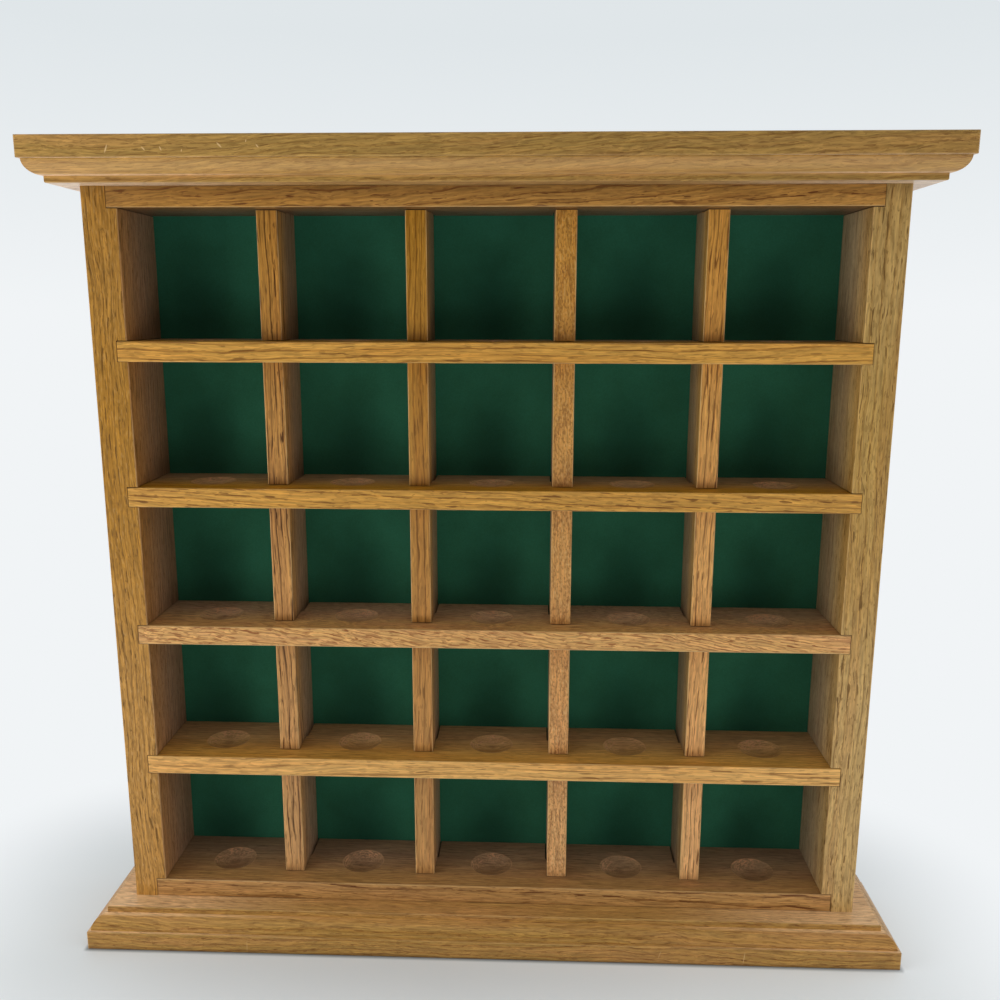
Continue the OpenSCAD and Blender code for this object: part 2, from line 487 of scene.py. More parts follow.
        # Painted reflection: the level faces pale towards both ends of the case.
        if oak.ends:
            level = add("MapRange", add("Math.ABSOLUTE", self.facing["Z"]), 0.9, 0.98)
            side = add("Math.ABSOLUTE", self.spot["X"])
            side = add("MapRange", side, 0.07, 0.17, 0.12, 1.0, **SMOOTH)
            side = add("Math.MULTIPLY", side, level)
            wood = add("Mix", side, wood, oak.ends, **RGBA)
        value = add("MapRange", fibre, 0.28, 0.72, 0.84, 1.14)
        hair = add("MapRange", self.streaks(13, 0.7, 2.0), 0.32, 0.68, 0.76, 1.22)
        for change in (hair, add("MapRange", tone, 0.0, 1.0, 0.94, 1.05)):
            value = add("Math.MULTIPLY", value, change)
        wood = add("HueSaturation", {"Color": wood, "Value": value})
        fleck = self.streaks(*oak.fleck, 0.0)
        limits = 0.62 - 0.1 * oak.ray, 0.70 - 0.1 * oak.ray
        ray = add("MapRange", fleck, *limits, 0.0, oak.ray, **SMOOTH)
        wood = add("Mix", ray, wood, oak.pore, **RGBA)
        if oak.glint:
            glint = add("MapRange", fleck, 0.38, 0.26, 0.0, oak.glint, **SMOOTH)
            wood = add("Mix", glint, wood, "#E0B878", **RGBA)
        dark = add("Math.MULTIPLY", pore, oak.dark)
        dark = add("Math.MAXIMUM", dark, line)
        dark = add("Math.MULTIPLY", dark, keep)
        wood, dark = self.dusted(self.aged(wood), dark)
        return add("Mix", dark, wood, oak.pore, **RGBA)

    def aged(self, wood: Node) -> Node:
        """Paints light and shade into the board's colour, where light falls unevenly on the case.

        Args:
            wood: the colour so far.

        Returns:
            The colour.
        """
        add, oak, height = self.add, self.oak, self.spot["Z"]
        # Painted light and shade: the uprights are paler and greyer at the foot, darker at the top.
        if oak.foot:
            value = add("MapRange", height, *self.uprights, 1.0 + oak.foot, 1.0 - oak.foot)
            fresh = add("MapRange", height, *self.uprights, *oak.tone)
            wood = add("HueSaturation", {"Color": wood, "Saturation": fresh, "Value": value})
        # Painted light: lightness runs in a gradient from the case's left end to its right end.
        if oak.sweep:
            ends = CAD_BOX[0].x, CAD_BOX[1].x, 1.0 + oak.sweep, 1.0 - oak.sweep
            value = add("MapRange", self.spot["X"], *ends)
            wood = add("HueSaturation", {"Color": wood, "Value": value})
        # Painted shade: a deeper, darker band about the middle of the height.
        if oak.veil:
            off = add("Math.ABSOLUTE", add("Math.SUBTRACT", height, self.waist))
            value = add("MapRange", off, 0.1, 0.02, 1.0, 1.0 - oak.veil, **SMOOTH)
            deep = add("MapRange", off, 0.1, 0.02, 1.0, 1.0 + oak.veil, **SMOOTH)
            wood = add("HueSaturation", {"Color": wood, "Saturation": deep, "Value": value})
        # Painted shade on the faces that look towards the case's middle, with a shift of hue.
        if oak.inner != (1.0, 1.0):
            inward = add("Math.LESS_THAN", self.outward, -0.05)
            value = add("MapRange", height, *self.uprights, *oak.inner)
            wood = add("HueSaturation", {
                "Color": wood, "Fac": inward, "Hue": oak.inner_hue, "Saturation": oak.inner_tone,
                "Value": value})
        # Painted shadow where the dividers meet the shelves: a dark band just above each cell's
        # floor.
        if oak.gather:
            rise = add("Math.WRAP", height, CELL_FLOOR + CELL_PITCH, CELL_FLOOR)
            above = CELL_FLOOR + self.burr * MM
            stain = add("MapRange", rise, above, CELL_FLOOR, 0.0, oak.gather, **SMOOTH)
            wood = add("Mix", stain, wood, oak.pore, **RGBA)
        # Painted shade between two heights, as under the crown board and at the base board's foot.
        if any(oak.corner):
            plain, dark = oak.corner
            value = add("MapRange", height, plain * MM, dark * MM, 1.0, 0.62, **SMOOTH)
            wood = add("HueSaturation", {"Color": wood, "Value": value})
        # Painted shade on the underside.
        if oak.under:
            shade = add("MapRange", self.facing["Z"], -0.4, -0.8, 0.0, oak.under)
            wood = add("Mix", shade, wood, "#4A2812", **RGBA)
        return wood

    def dusted(self, wood: Node, dark: Node) -> tuple[Node, Node]:
        """Greys the wood towards the back of the cells, which are dustier where no hand wipes them,
        and darkens it there as painted shade.

        Args:
            wood: the colour so far.
            dark: how dark the pores and lines are.

        Returns:
            The colour, and how dark the pores and lines are under the grey and the painted shade.
        """
        add, oak = self.add, self.oak
        if not oak.dust:
            return wood, dark
        clean, dim = oak.dusty
        depth = add("MapRange", self.spot["Y"], clean * MM, dim * MM, **SMOOTH)
        front = add("Math.LESS_THAN", self.facing["Y"], -0.5)
        outer = add("Math.GREATER_THAN", self.outward, 0.15)
        for spared in (front, outer):
            depth = add("Math.SUBTRACT", depth, spared, use_clamp=True)
        # value is painted shade towards the back; fade greys the wood there; clear softens its
        # pores.
        fade, value, clear = (add("Math.MULTIPLY_ADD", depth, loss, 1.0)
                              for loss in (-oak.film, -0.2 * oak.dust, -0.6))
        wood = add("HueSaturation", {"Color": wood, "Saturation": fade, "Value": value})
        return wood, add("Math.MULTIPLY", dark, clear)

    def wear(self, wood: Node, pore: Node, fibre: Node) -> tuple[Node, Node, Node]:
        """Adds end grain, rubbed edges, marks and seats to the colour, gloss and relief.

        It also paints light onto the curved moulding and a highlight onto the lower front edges.

        Args:
            wood: the colour so far.
            pore: how much a point is in a pore.
            fibre: the fine streaks.

        Returns:
            Colour, roughness and height.
        """
        add, oak = self.add, self.oak
        sizes = [add("Math.ABSOLUTE", self.facing[axis]) for axis in "XYZ"]
        along = sizes[0 if oak.grain is Grain.ACROSS else 2]
        end = add("MapRange", along, 0.6, 1.0, 0.0, 0.3, **SMOOTH)
        wood = add("Mix", end, wood, oak.pore, **RGBA)
        most = sizes[0]
        for size in sizes[1:]:
            most = add("Math.MAXIMUM", most, size)
        edge = add("MapRange", most, 0.985, 0.86, **SMOOTH)
        if any(oak.plain_z):
            low, high = oak.plain_z
            middle, half = (low + high) / 2 * MM, (high - low) / 2 * MM
            curved = add("Math.COMPARE", self.spot["Z"], middle, half)
            edge = add("Math.SUBTRACT", edge, curved, use_clamp=True)
            # Painted light: the curved moulding is paled towards a pale tan.
            sanded = add("Math.MULTIPLY", curved, add("Math.LESS_THAN", self.facing["Y"], 0.5))
            sanded = add("Math.MULTIPLY", sanded, oak.rounded)
            wood = add("Mix", sanded, wood, "#EBB578", **RGBA)
        patchy = add("TexNoise", self.place, 45.0, 3.0)
        patchy = add("MapRange", patchy, 0.38, 0.66, 0.3 * oak.rub, oak.rub)
        # Painted highlight on the lower front edges.
        if oak.low_rub:
            low = add("MapRange", self.facing["Z"], -0.12, -0.4, 0.0, oak.low_rub)
            patchy = add("Math.ADD", patchy, low, use_clamp=True)
        # rubbed holds the worn edges, the marks and the painted highlight of the lower edges.
        rubbed = add("Math.MULTIPLY", edge, patchy)
        for mark in oak.marks:
            rubbed = self.scratched(rubbed, mark)
        wood = add("Mix", rubbed, wood, "#DDB981", **RGBA)
        rough = add("MapRange", fibre, 0.25, 0.75, 0.34, 0.48)
        rough = add("Math.MULTIPLY_ADD", pore, 0.2, rough)
        height = add("Math.MULTIPLY_ADD", pore, -1.0, fibre)
        return self.seated(wood, rough, height) if oak.seats else (wood, rough, height)

    def scratched(self, rubbed: Node, mark: Mark) -> Node:
        """Adds one mark to the rubbed places.

        Args:
            rubbed: the rubbed places so far.
            mark: the mark.

        Returns:
            The rubbed places with it.
        """
        own = self.add("Mapping", {
            "Vector": self.place, "Location": (mark.x * MM, mark.front, mark.z * MM),
            "Rotation": (0.0, -math.radians(mark.turn), 0.0),
            "Scale": (mark.length / 2 * MM, mark.reach, mark.width / 2 * MM)},
            vector_type="TEXTURE")
        away = self.add("VectorMath.LENGTH", own)
        inside = self.add("MapRange", away, 1.1, 0.6, 0.0, mark.depth)
        return self.add("Math.MAXIMUM", rubbed, inside)

    def seated(self, wood: Node, rough: Node, height: Node) -> tuple[Node, Node, Node]:
        """Roughens the dished seats, where the cutter left rings and took the varnish less well.

        It also paints shadow on each dish's near right side, light on its far left side, and shade
        over the whole upper face.

        Args:
            wood: the colour so far.
            rough: the roughness so far.
            height: the height so far.

        Returns:
            Colour, roughness and height.
        """
        add, seats = self.add, self.oak.seats
        across, back = self.spot["X"], self.spot["Y"]
        side = near = add("Math.ABSOLUTE", across)
        for seat in seats.sides:
            gap = add("Math.ABSOLUTE", add("Math.SUBTRACT", side, seat))
            near = add("Math.MINIMUM", near, gap)
        deep = add("Math.SUBTRACT", back, seats.back)
        radius = add("VectorMath.LENGTH", add("CombineXYZ", near, deep))
        upward = add("Math.GREATER_THAN", self.facing["Z"], 0.5)
        inside = add("MapRange", radius, *seats.face, **SMOOTH)
        inside = add("Math.MULTIPLY", inside, upward)
        short = add("Math.MULTIPLY", back, 0.5)
        torn = add("TexNoise", add("CombineXYZ", across, short, radius), 800.0, 2.0, 0.6)
        wave = add("Math.SINE", add("Math.MULTIPLY", radius, 2 * math.pi / seats.ring))
        rings = add("Math.MULTIPLY_ADD", wave, 0.05, torn)
        around = add("Math.WRAP", across, seats.half_pitch, -seats.half_pitch)
        slant = add("Math.MULTIPLY_ADD", deep, 1.3, around)
        slant = add("Math.MULTIPLY_ADD", around, -1.6, slant)
        worn = add("TexNoise", add("CombineXYZ", across, back), 110.0, 2.0)
        worn = add("MapRange", worn, 0.38, 0.60, 0.2, 1.0, **SMOOTH)

        # Painted shadow on the near right side of each dish.
        shade = add("MapRange", slant, 0.004, -0.009, 0.0, 0.35, **SMOOTH)
        shade = add("Math.MULTIPLY", shade, inside)
        # A darker middle in each dish.
        burnt = add("MapRange", radius, *seats.burnt, 0.0, 0.45, **SMOOTH)
        for change in (worn, upward):
            burnt = add("Math.MULTIPLY", burnt, change)
        shade = add("Math.MAXIMUM", shade, burnt)
        wood = add("Mix", shade, wood, "#5A3218", **RGBA)
        # Painted shade: the upper face is darker and its colour richer, a little less dark inside
        # the dishes.
        grime = add("Math.MULTIPLY_ADD", upward, -0.22, 1.0)
        grime = add("Math.MULTIPLY_ADD", inside, 0.06, grime)
        rich = add("Math.MULTIPLY_ADD", upward, self.oak.rich, 1.0)
        wood = add("HueSaturation", {"Color": wood, "Saturation": rich, "Value": grime})

        pale = add("MapRange", rings, 0.47, 0.57)
        centre = add("MapRange", radius, 0.003, 0.009, 0.3, 1.0)
        # The cutter's torn fibres show pale, with painted light that favours each dish's far left
        # side.
        against = add("MapRange", slant, -0.006, 0.009, 0.08, 1.0, **SMOOTH)
        for change in (centre, against, worn, inside):
            pale = add("Math.MULTIPLY", pale, change)
        lip = add("Math.COMPARE", radius, *seats.lip)
        for change in (worn, 0.25):
            lip = add("Math.MULTIPLY", lip, change)
        pale = add("Math.MAXIMUM", pale, lip)
        pale = add("Math.MULTIPLY", pale, upward)
        wood = add("Mix", pale, wood, "#D8A278", **RGBA)
        dull = add("Math.MULTIPLY_ADD", inside, 0.1, rough)
        rise = add("Math.MULTIPLY", rings, inside)
        return wood, dull, add("Math.MULTIPLY_ADD", rise, 1.2, height)


@dataclass(frozen=True)
class WoolFelt:
    """Pressed wool felt, dyed dark green.

    Matted fibre: no weave, no gloss, a soft sheen at low angles and a cloudy tone. Real fibre is
    0.03 mm thick, which is too fine to show, so its fuzz is drawn 0.7 mm wide.

    Attributes:
        deep: colour in the mat.
        light: colour of the raised fibre.
        sheen: colour of the sheen.
        contact: heights above the cell floor of the painted shade patch, in the lowest and the top
            row.
        patch: half width and half height of the patch.
        drift: how far the patch lies towards the side in the first column.
        column: places between which the drift fades out, in metres.
    """

    deep: str = "#27543B"
    light: str = "#34775E"
    sheen: str = "#3E8F6E"
    contact: tuple[float, float] = (5.0, 15.0)
    patch: tuple[float, float] = (14.0, 24.0)
    drift: float = 10.0
    column: tuple[float, float] = (-0.13, -0.05)

    def material(self) -> Material:
        """Builds the felt.

        Returns:
            The material.
        """
        shading = Shading("wool_felt_green")
        add = shading.add
        fuzz = add("TexNoise", shading.place, 1400.0, 3.0, 0.7)
        cloud = add("TexNoise", shading.place, 60.0, 3.0)
        amount = add("Math.MULTIPLY_ADD", cloud, 0.16, add("Math.MULTIPLY", fuzz, 0.22))
        shade = add("MapRange", amount, 0.02, 0.36)
        cloth = add("Mix", shade, self.deep, self.light, **RGBA)
        # The felt's lightness holds a painted shade patch low in each cell.
        cloth = add("HueSaturation", {"Color": cloth, "Value": self._soil(shading, cloud)})
        bump = add("Bump", {"Height": amount, "Strength": 0.6, "Distance": 0.0003})
        return shading.finish(add("BsdfPrincipled", {
            "Base Color": cloth, "Roughness": 0.95, "Normal": bump, "Specular IOR Level": 0.1,
            "Sheen Weight": 0.12, "Sheen Roughness": 0.5, "Sheen Tint": self.sheen}))

    def _soil(self, shading: Shading, cloud: Node) -> Node:
        """Works out the painted shade on the felt: a dark patch low in each cell, lighter around
        it.

        Args:
            shading: the material in the making.
            cloud: the cloudy noise.

        Returns:
            The lightness.
        """
        add, spot = shading.add, shading.spot
        across = add("Math.WRAP", spot["X"], CELL_WIDTH / 2, -CELL_WIDTH / 2)
        drift = add("MapRange", spot["X"], *self.column, self.drift * MM, 0.0)
        across = add("Math.ADD", across, drift)
        rise = add("Math.WRAP", spot["Z"], CELL_FLOOR + CELL_PITCH, CELL_FLOOR)
        lowest, top = (CELL_FLOOR + height * MM for height in self.contact)
        middle = add("MapRange", spot["Z"], CELL_FLOOR, CELL_FLOOR + 4 * CELL_PITCH, lowest, top)
        rise = add("Math.SUBTRACT", rise, middle)
        away = add("CombineXYZ", *(add("Math.MULTIPLY", part, 1 / (half * MM))
                                   for part, half in zip((across, rise), self.patch)))
        away = add("VectorMath.LENGTH", away)
        away = add("Math.MULTIPLY_ADD", cloud, 0.35, away)
        return add("MapRange", away, 0.25, 1.8, 0.66, 1.18, **SMOOTH)


@dataclass(frozen=True)
class Hardboard:
    """Hardboard: pressed wood fibre, with a smooth brown face and fine dark flecks.

    Real flecks are 0.1 mm wide, which is too fine to show, so they are drawn 1 mm wide.
    """

    base: str = "#7A5233"
    fleck: str = "#5E3E28"

    def material(self) -> Material:
        """Builds the board's face.

        Returns:
            The material.
        """
        shading = Shading("hardboard_brown")
        add = shading.add
        mat = add("TexNoise", shading.place, 900.0, 4.0, 0.6)
        cloud = add("TexNoise", shading.place, 14.0, 3.0)
        fleck = add("MapRange", mat, 0.48, 0.72, **SMOOTH)
        colour = add("Mix", fleck, self.base, self.fleck, **RGBA)
        value = add("MapRange", cloud, 0.3, 0.7, 0.88, 1.12)
        colour = add("HueSaturation", {"Color": colour, "Value": value})
        rough = add("MapRange", mat, 0.0, 1.0, 0.5, 0.75)
        bump = add("Bump", {"Height": mat, "Strength": 0.3, "Distance": 0.0001})
        return shading.finish(add("BsdfPrincipled", {
            "Base Color": colour, "Roughness": rough, "Normal": bump}))


@dataclass(frozen=True)
class PlatedSteel:
    """Plated or bright steel: a grey metal with a faint bloom, 2 mm wide, and a brushed gloss.

    Attributes:
        name: the metal's name.
        colour: its colour.
        rough: its roughness where there is no bloom.
    """

    name: str = "zinc_plated_steel"
    colour: str = "#B9BBB8"
    rough: float = 0.34

    def material(self) -> Material:
        """Builds the metal.

        Returns:
            The material.
        """
        shading = Shading(self.name)
        add = shading.add
        bloom = add("TexNoise", shading.place, 500.0, 3.0)
        value = add("MapRange", bloom, 0.0, 1.0, 0.75, 1.15)
        tone = add("HueSaturation", {"Color": self.colour, "Value": value})
        rough = add("MapRange", bloom, 0.0, 1.0, self.rough - 0.1, self.rough + 0.15)
        return shading.finish(add("BsdfPrincipled", {
            "Base Color": tone, "Metallic": 1.0, "Roughness": rough}))


@dataclass(frozen=True)
class BirchRod:
    """Birch dowel, turned and unfinished: pale, close-grained and matt.

    Its pores are too fine to show, so they are drawn as lines 0.7 mm wide.

    Attributes:
        base: colour of the wood.
        line: colour of its fine lines.
        fine: how many lines there are in a metre, across the rod twice and along it.
    """

    base: str = "#D9BC8C"
    line: str = "#C39F6B"
    fine: tuple[float, float, float] = (1500.0, 1500.0, 60.0)

    def material(self) -> Material:
        """Builds the rod's face.

        Returns:
            The material.
        """
        shading = Shading("birch_turned")
        add = shading.add
        drawn = add("VectorMath.MULTIPLY", shading.place, self.fine)
        line = add("TexNoise", drawn, 1.0, 3.0)
        colour = add("Mix", line, self.base, self.line, **RGBA)
        rough = add("MapRange", line, 0.0, 1.0, 0.55, 0.8)
        return shading.finish(add("BsdfPrincipled", {"Base Color": colour, "Roughness": rough}))


@dataclass
class MouldedBoards:
    """The crown board and the base board, each with a moulded edge on three sides.

    Attributes:
        crown_curve: heights of the crown board's quarter round.
        base_curve: heights of the base board's quarter round.
    """

    crown_curve: tuple[float, float] = (356.0, 362.6)
    base_curve: tuple[float, float] = (9.4, 16.0)

    def dress(self) -> None:
        """Gives both boards their oak."""
        SatinOak(
            "crown_board", late="#B28B49", early="#9C6E2E", blush="#BF8E4F", pore="#683C0C",
            contrast=0.38, ring=3.2, heart=(30.0, 52.0), lean=(2.6, 1.6), wander=6.0, pores=0.95,
            crowd=0.05, dash=(7.0, 0.45), dark=0.55, line=0.35, rub=0.16, seed=1.0, sweep=0.13,
            ends="#EACBAA", plain_z=self.crown_curve, rounded=0.25,
            marks=(Mark(-155.2, 366.2, 3.8, 0.70, 70.0), Mark(-139.8, 366.2, 2.2, 0.60, -45.0),
                   Mark(-132.7, 366.2, 2.0, 0.55, -65.0), Mark(-124.1, 365.4, 1.2, 0.50, 80.0),
                   Mark(-108.6, 367.4, 3.0, 0.70, -45.0), Mark(-97.6, 369.0, 1.2, 0.45, 75.0),
                   Mark(-93.1, 367.0, 1.9, 0.55, -50.0))).dress()
        SatinOak(
            "base_board", late="#AD8340", early="#9A662B", blush="#BA874B", pore="#6A3A0C",
            ring=2.8, heart=(44.0, -36.0), lean=(-0.8, 1.2), wander=5.0, pores=0.8, contrast=0.55,
            crowd=0.08, dash=(6.0, 0.5), dark=0.65, line=0.35, rub=0.22, seed=2.3,
            ends="#E0B682", plain_z=self.base_curve, corner=(2.2, 0.2),
            marks=(Mark(120.5, 4.4, 6.5, 0.5, 84.0, 0.5), Mark(-115.5, 4.0, 6.0, 0.5, 88.0, 0.3),
                   Mark(81.0, 5.0, 5.0, 0.6, 72.0, 0.25))).dress()


@dataclass
class Carcass:
    """The two sides and the top and bottom panels between them."""

    def dress(self) -> None:
        """Gives the four boards their oak."""
        side = partial(
            SatinOak, grain=Grain.UPRIGHT, pore="#5C3A06", dash=(8.0, 0.75), pores=0.8,
            dust=1.1, line=0.3, dark=0.75, crowd=0.1, foot=0.06, tone=(0.945, 0.98),
            corner=(346.0, 355.0), dusty=(-16.0, 16.0), fleck=(3.5, 0.75), glint=0.16)
        side(
            "left_side", late="#B7822F", early="#A06E22", blush="#AD7824", ring=2.2,
            heart=(24.0, 30.0), lean=(0.6, -0.7), wander=4.5, film=0.2, veil=0.05,
            inner=(0.89, 0.96), inner_tone=0.93, inner_hue=0.49, seed=3.1).dress()
        side(
            "right_side", late="#C19B59", early="#AE8341", blush="#B78A4A", ring=3.6,
            heart=(20.0, -34.0), lean=(-0.5, 0.6), wander=3.5, film=0.24, veil=0.07,
            inner=(0.78, 1.16), seed=4.7).dress()
        SatinOak(
            "top_panel", late="#B98744", early="#97672F", blush="#BF8940", pore="#5C2C0A",
            ring=3.4, heart=(40.0, 24.0), lean=(5.0, 1.0), wander=6.0, pores=0.6, crowd=0.1,
            dash=(10.0, 0.75), line=0.7, dust=1.0, dusty=(-13.0, 6.0), corner=(347.0, 354.0),
            under=0.6, sweep=-0.09, seed=5.9).dress()
        SatinOak(
            "bottom_panel", late="#BB8C51", early="#9B6E39", blush="#B98553", pore="#5C2D0C",
            ring=3.0, heart=(50.0, 20.0), lean=(-0.9, 0.8), pores=0.55, dash=(12.0, 0.8),
            calm=0.85, dust=0.6, film=0.25, rich=0.0, seed=7.3, seats=DishedSeats()).dress()


@dataclass
class CellGrid:
    """The four shelves and the four dividers that cross them."""

    def dress(self) -> None:
        """Gives the eight boards their oak."""
        shelf = partial(SatinOak, seats=DishedSeats())
        divider = partial(
            SatinOak, grain=Grain.UPRIGHT, dust=1.5, film=0.25, dusty=(-5.0, 16.0), band=0.3,
            foot=0.12, tone=(0.904, 1.048), gather=0.35, rub=0.8)
        shelf(
            "shelf_1", late="#D29C48", early="#B77F33", blush="#CD903E", ring=3.0,
            heart=(30.0, 40.0), lean=(0.5, 0.8), dash=(20.0, 0.8), dark=0.7, dust=0.3, film=0.3,
            seed=8.1).dress()
        shelf(
            "shelf_2", late="#CE9844", early="#B27A2E", blush="#CB8E3B", heart=(34.0, -30.0),
            lean=(-2.5, 0.9), pores=0.6, dash=(10.0, 0.8), pore="#6B3E0C", line=0.6, dark=0.8,
            dust=0.1, film=0.3, seed=9.4).dress()
        shelf(
            "shelf_3", late="#DCA965", early="#C3894C", blush="#D99D67", pore="#8A4C22", ring=1.7,
            heart=(30.0, 60.0), lean=(-8.0, 1.0), pores=0.9, crowd=0.1, dash=(7.0, 0.75),
            wander=8.0, fleck=(5.5, 0.7), ray=0.5, line=0.45, calm=0.75, rub=0.8, low_rub=0.9,
            dust=0.3, film=0.25, rich=0.02, seed=10.6).dress()
        shelf(
            "shelf_4", late="#DFAB61", early="#C68D47", blush="#DB9E54", ring=3.8,
            heart=(28.0, 34.0), lean=(0.4, 0.7), pores=0.2, line=0.35, dash=(20.0, 0.8), rub=0.7,
            contrast=0.5, dark=0.65, low_rub=0.8, sweep=-0.04, dust=0.8, film=0.2,
            seed=12.2).dress()
        divider(
            "divider_1", late="#C38D49", early="#AB7234", blush="#BF8444", ring=2.4,
            heart=(20.0, 26.0), lean=(0.8, 0.5), wander=3.2, pores=0.7, dash=(16.0, 1.0),
            line=0.95, line_width=0.8, dark=0.95, pore="#4A2500", seed=13.3).dress()
        divider(
            "divider_2", late="#BB873D", early="#A46929", blush="#B57A32", ring=2.8,
            heart=(22.0, -24.0), lean=(-0.6, 0.4), wander=2.4, dash=(16.0, 0.8), line=0.55,
            dark=0.65, pore="#553000", seed=14.7).dress()
        divider(
            "divider_3", late="#D39950", early="#BB803F", blush="#CB8A45", ring=1.8,
            heart=(60.0, 14.0), lean=(2.5, 3.0), wander=1.6, pores=0.6, line=0.1, dash=(2.2, 0.7),
            pore="#865628", fleck=(1.5, 0.65), ray=0.5, glint=0.4, dark=0.6, seed=16.2).dress()
        divider(
            "divider_4", late="#DDA258", early="#C48744", blush="#D99A51", heart=(18.0, 22.0),
            lean=(-1.2, 0.6), wander=3.4, pores=0.65, dash=(16.0, 0.9), line=0.7, line_width=0.6,
            dark=0.8, pore="#5C2D00", inner=(0.42, 0.84), inner_hue=0.51, seed=17.8).dress()


@dataclass
class Lining:
    """The green felt, the board that it is glued to, and the brads that hold the board.

    Attributes:
        width: the felt's cut width.
        height: its cut height.
        front: how far back its face is, from the middle of the depth.
        low: height of its lower edge.
        thick: its thickness.
        columns: mesh columns.
        rows: mesh rows.
        ripple: how far its face rises and falls on the glue, in metres.
    """

    width: float = 346.8
    height: float = 360.0
    front: float = 27.66
    low: float = 6.0
    thick: float = 0.6
    columns: int = 116
    rows: int = 120
    ripple: float = 0.00006

    def build(self) -> None:
        """Makes the felt as one thin sheet, with the slight rise and fall that glue leaves."""
        shape = bmesh.new()
        bmesh.ops.create_grid(shape, x_segments=self.columns, y_segments=self.rows, size=0.5)
        bmesh.ops.scale(shape, vec=(self.width * MM, self.height * MM, 1.0), verts=shape.verts)
        bmesh.ops.rotate(shape, cent=(0, 0, 0), matrix=Matrix.Rotation(math.pi / 2, 3, "X"),
                         verts=shape.verts)
        bmesh.ops.translate(shape, vec=(0, self.front * MM, (self.low + self.height / 2) * MM),
                            verts=shape.verts)
        for vert in shape.verts:
            swell, wrinkle = noise.noise(vert.co * 55.0), noise.noise(vert.co * 160.0)
            vert.co.y += self.ripple * (swell + 0.5 * wrinkle)
        felt = add_mesh("felt_sheet", shape, WoolFelt().material())
        felt.data.shade_smooth()
        body = felt.modifiers.new("thickness", "SOLIDIFY")
        body.thickness = self.thick * MM
        body.offset = -1.0
        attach(felt, "root")
        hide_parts("felt_backing")
        log.info("felt_sheet: %.1f x %.1f mm", self.width, self.height)

    def dress(self) -> None:
        """Gives the back board and its brads their finishes."""
        dress("back_panel", Hardboard().material())
        dress("back_brads", PlatedSteel("bright_steel", "#A9A7A1", 0.4).material())


def add_mesh(name: str, shape: bmesh.types.BMesh, material: Material) -> Object:
    """Makes a finished shape an object of the scene.

    Args:
        name: the object's name.
        shape: the shape, which is used up.
        material: its finish.

    Returns:
        The object.
    """
    mesh = bpy.data.meshes.new(name)
    shape.to_mesh(mesh)
    shape.free()
    mesh.materials.append(material)
    piece = bpy.data.objects.new(name, mesh)
    bpy.context.scene.collection.objects.link(piece)
    return piece


@dataclass
class Fixings:
    """The dowels under the crown board and the screws through the base board."""

    def dress(self) -> None:
        """Gives the dowels and screws their finishes."""
        dress("crown_dowels", BirchRod().material())
        dress("base_screws", PlatedSteel().material())


@dataclass(frozen=True)
class SoftBox:
    """A square lamp behind white cloth, which gives broad light with soft shadows.

    Attributes:
        name: the lamp's name.
        place: where it stands, in metres.
        aim: the point that it faces, in metres.
        size: its side, in metres.
        glow: how bright its cloth is, where 1 is a white wall in plain light.
        mirrored: whether the varnish mirrors it.
    """

    name: str
    place: tuple[float, float, float]
    aim: tuple[float, float, float]
    size: float
    glow: float
    mirrored: bool = False

    def build(self) -> None:
        """Makes the lamp."""
        lamp = bpy.data.lights.new(self.name, "AREA")
        lamp.shape, lamp.size = "SQUARE", self.size
        lamp.energy = self.glow * math.pi * self.size ** 2
        holder = bpy.data.objects.new(self.name, lamp)
        holder.location = self.place
        way = Vector(self.aim) - Vector(self.place)
        holder.rotation_euler = way.to_track_quat("-Z", "Y").to_euler()
        holder.visible_camera = False
        holder.visible_glossy = self.mirrored
        bpy.context.scene.collection.objects.link(holder)
        log.info("%s: %.1f W", self.name, lamp.energy)


@dataclass(frozen=True)
class Camera:
    """The camera, a little above the case's middle and close in.

    Attributes:
        place: where it stands, in metres.
        turn: degrees that it looks up and to the right, and that it leans.
        lens: its focal length.
        shift: how far the view is shifted across and up, in widths of the view.
        clip: the nearest and the furthest distance that it sees, in metres.
    """

    place: tuple[float, float, float] = (0.019715, -0.447842, 0.303286)
    turn: tuple[float, float, float] = (-11.8179, -2.205, 0.1021)
    lens: float = 35.607
    shift: tuple[float, float] = (0.003597, 0.014806)
    clip: tuple[float, float] = (0.02, 50.0)

    def build(self) -> None:
        """Makes the camera the scene's own."""
        lens = bpy.data.cameras.new("camera")
        lens.lens = self.lens
        lens.shift_x, lens.shift_y = self.shift
        lens.clip_start, lens.clip_end = self.clip
        pitch, yaw, roll = map(math.radians, self.turn)
        ahead = Vector((math.sin(yaw) * math.cos(pitch), math.cos(yaw) * math.cos(pitch),
                        math.sin(pitch)))
        level = Vector((math.cos(yaw), -math.sin(yaw), 0.0))
        above = level.cross(ahead)
        right = math.cos(roll) * level + math.sin(roll) * above
        up = -math.sin(roll) * level + math.cos(roll) * above
        turn = Matrix((right, up, -ahead)).transposed()
        eye = bpy.data.objects.new("camera", lens)
        eye.matrix_world = Matrix.Translation(self.place) @ turn.to_4x4()
        bpy.context.scene.collection.objects.link(eye)
        bpy.context.scene.camera = eye


